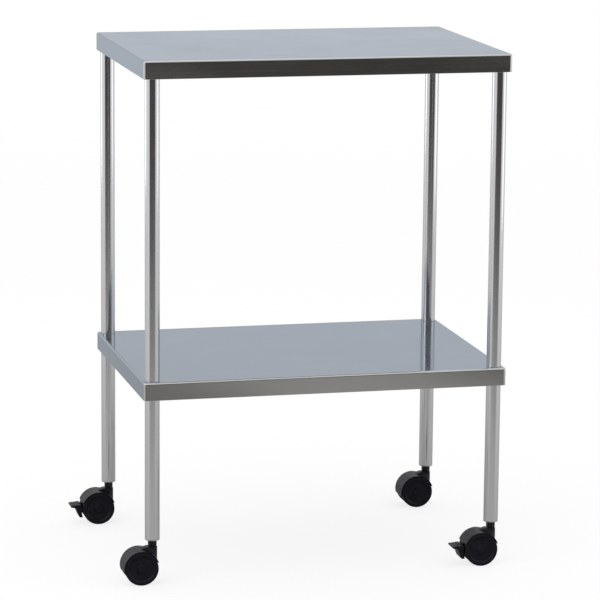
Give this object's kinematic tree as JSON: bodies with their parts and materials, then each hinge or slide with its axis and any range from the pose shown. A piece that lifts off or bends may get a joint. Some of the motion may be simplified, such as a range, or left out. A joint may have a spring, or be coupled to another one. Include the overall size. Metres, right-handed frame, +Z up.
{
  "type": "instrument cart",
  "caption": "Open-sided two-tier stainless instrument cart with flat decks on round tube legs, rolling on twin-wheel swivel casters, some with toe brakes.",
  "frame": {"origin": "on the floor, under the centre of the shelves", "axes": "+X to the right along the long side of the shelves, +Y to the back, +Z up; the casters trail to -X"},
  "size_m": [0.6947, 0.459, 0.9],
  "materials": {
    "brushed_stainless": "satin, brushed along the long side",
    "polished_stainless": "polished tube",
    "mill_stainless": "plain rolled sheet, spot welded",
    "turned_steel": "turned, bright",
    "black_steel": "black coated",
    "black_nylon": "moulded, slight sheen",
    "black_tread": "smooth soft tread"
  },
  "bodies": {
    "frame": {"top_shelf": "brushed_stainless", "lower_shelf": "brushed_stainless", "top_stiffener": "mill_stainless", "lower_stiffener": "mill_stainless", "top_plate_front_left": "mill_stainless", "lower_plate_front_left": "mill_stainless", "upper_leg_front_left": "polished_stainless", "lower_leg_front_left": "polished_stainless", "top_plate_front_right": "mill_stainless", "lower_plate_front_right": "mill_stainless", "upper_leg_front_right": "polished_stainless", "lower_leg_front_right": "polished_stainless", "top_plate_back_left": "mill_stainless", "lower_plate_back_left": "mill_stainless", "upper_leg_back_left": "polished_stainless", "lower_leg_back_left": "polished_stainless", "top_plate_back_right": "mill_stainless", "lower_plate_back_right": "mill_stainless", "upper_leg_back_right": "polished_stainless", "lower_leg_back_right": "polished_stainless", "upper_leg_head_plugs": "turned_steel", "upper_leg_foot_plugs": "turned_steel", "lower_leg_head_plugs": "turned_steel", "caster_sockets": "black_nylon", "top_studs": "turned_steel", "joint_studs": "turned_steel", "caster_stem_front_left": "black_steel", "caster_stem_front_right": "black_steel", "caster_stem_back_left": "black_steel", "caster_stem_back_right": "black_steel"},
    "caster_front_left": {"caster_housing_front_left": "black_nylon", "axle_front_left": "turned_steel"},
    "near_roller_front_left": {"near_wheel_front_left": "black_nylon", "near_tread_front_left": "black_tread"},
    "far_roller_front_left": {"far_wheel_front_left": "black_nylon", "far_tread_front_left": "black_tread"},
    "caster_front_right": {"caster_housing_front_right": "black_nylon", "axle_front_right": "turned_steel", "brake_pin_front_right": "turned_steel"},
    "near_roller_front_right": {"near_wheel_front_right": "black_nylon", "near_tread_front_right": "black_tread"},
    "far_roller_front_right": {"far_wheel_front_right": "black_nylon", "far_tread_front_right": "black_tread"},
    "pedal_front_right": {"brake_pedal_front_right": "black_nylon"},
    "caster_back_left": {"caster_housing_back_left": "black_nylon", "axle_back_left": "turned_steel", "brake_pin_back_left": "turned_steel"},
    "near_roller_back_left": {"near_wheel_back_left": "black_nylon", "near_tread_back_left": "black_tread"},
    "far_roller_back_left": {"far_wheel_back_left": "black_nylon", "far_tread_back_left": "black_tread"},
    "pedal_back_left": {"brake_pedal_back_left": "black_nylon"},
    "caster_back_right": {"caster_housing_back_right": "black_nylon", "axle_back_right": "turned_steel"},
    "near_roller_back_right": {"near_wheel_back_right": "black_nylon", "near_tread_back_right": "black_tread"},
    "far_roller_back_right": {"far_wheel_back_right": "black_nylon", "far_tread_back_right": "black_tread"}
  },
  "joints": [
    {"name": "swivel_front_left", "type": "hinge", "parent": "frame", "child": "caster_front_left", "pos_m": [-0.3025, -0.2075, 0.029], "axis": [0, 0, 1], "continuous": true},
    {"name": "near_spin_front_left", "type": "hinge", "parent": "caster_front_left", "child": "near_roller_front_left", "pos_m": [-0.324, -0.2075, 0.029], "axis": [0, 1, 0], "continuous": true},
    {"name": "far_spin_front_left", "type": "hinge", "parent": "caster_front_left", "child": "far_roller_front_left", "pos_m": [-0.324, -0.2075, 0.029], "axis": [0, 1, 0], "continuous": true},
    {"name": "swivel_front_right", "type": "hinge", "parent": "frame", "child": "caster_front_right", "pos_m": [0.3025, -0.2075, 0.029], "axis": [0, 0, 1], "continuous": true},
    {"name": "near_spin_front_right", "type": "hinge", "parent": "caster_front_right", "child": "near_roller_front_right", "pos_m": [0.281, -0.2075, 0.029], "axis": [0, 1, 0], "continuous": true},
    {"name": "far_spin_front_right", "type": "hinge", "parent": "caster_front_right", "child": "far_roller_front_right", "pos_m": [0.281, -0.2075, 0.029], "axis": [0, 1, 0], "continuous": true},
    {"name": "brake_front_right", "type": "hinge", "parent": "caster_front_right", "child": "pedal_front_right", "pos_m": [0.24733, -0.2075, 0.03373], "axis": [0, -1, 0], "range_deg": [0, 9]},
    {"name": "swivel_back_left", "type": "hinge", "parent": "frame", "child": "caster_back_left", "pos_m": [-0.3025, 0.2075, 0.029], "axis": [0, 0, 1], "continuous": true},
    {"name": "near_spin_back_left", "type": "hinge", "parent": "caster_back_left", "child": "near_roller_back_left", "pos_m": [-0.324, 0.2075, 0.029], "axis": [0, 1, 0], "continuous": true},
    {"name": "far_spin_back_left", "type": "hinge", "parent": "caster_back_left", "child": "far_roller_back_left", "pos_m": [-0.324, 0.2075, 0.029], "axis": [0, 1, 0], "continuous": true},
    {"name": "brake_back_left", "type": "hinge", "parent": "caster_back_left", "child": "pedal_back_left", "pos_m": [-0.35767, 0.2075, 0.03373], "axis": [0, -1, 0], "range_deg": [0, 9]},
    {"name": "swivel_back_right", "type": "hinge", "parent": "frame", "child": "caster_back_right", "pos_m": [0.3025, 0.2075, 0.029], "axis": [0, 0, 1], "continuous": true},
    {"name": "near_spin_back_right", "type": "hinge", "parent": "caster_back_right", "child": "near_roller_back_right", "pos_m": [0.281, 0.2075, 0.029], "axis": [0, 1, 0], "continuous": true},
    {"name": "far_spin_back_right", "type": "hinge", "parent": "caster_back_right", "child": "far_roller_back_right", "pos_m": [0.281, 0.2075, 0.029], "axis": [0, 1, 0], "continuous": true}
  ]
}
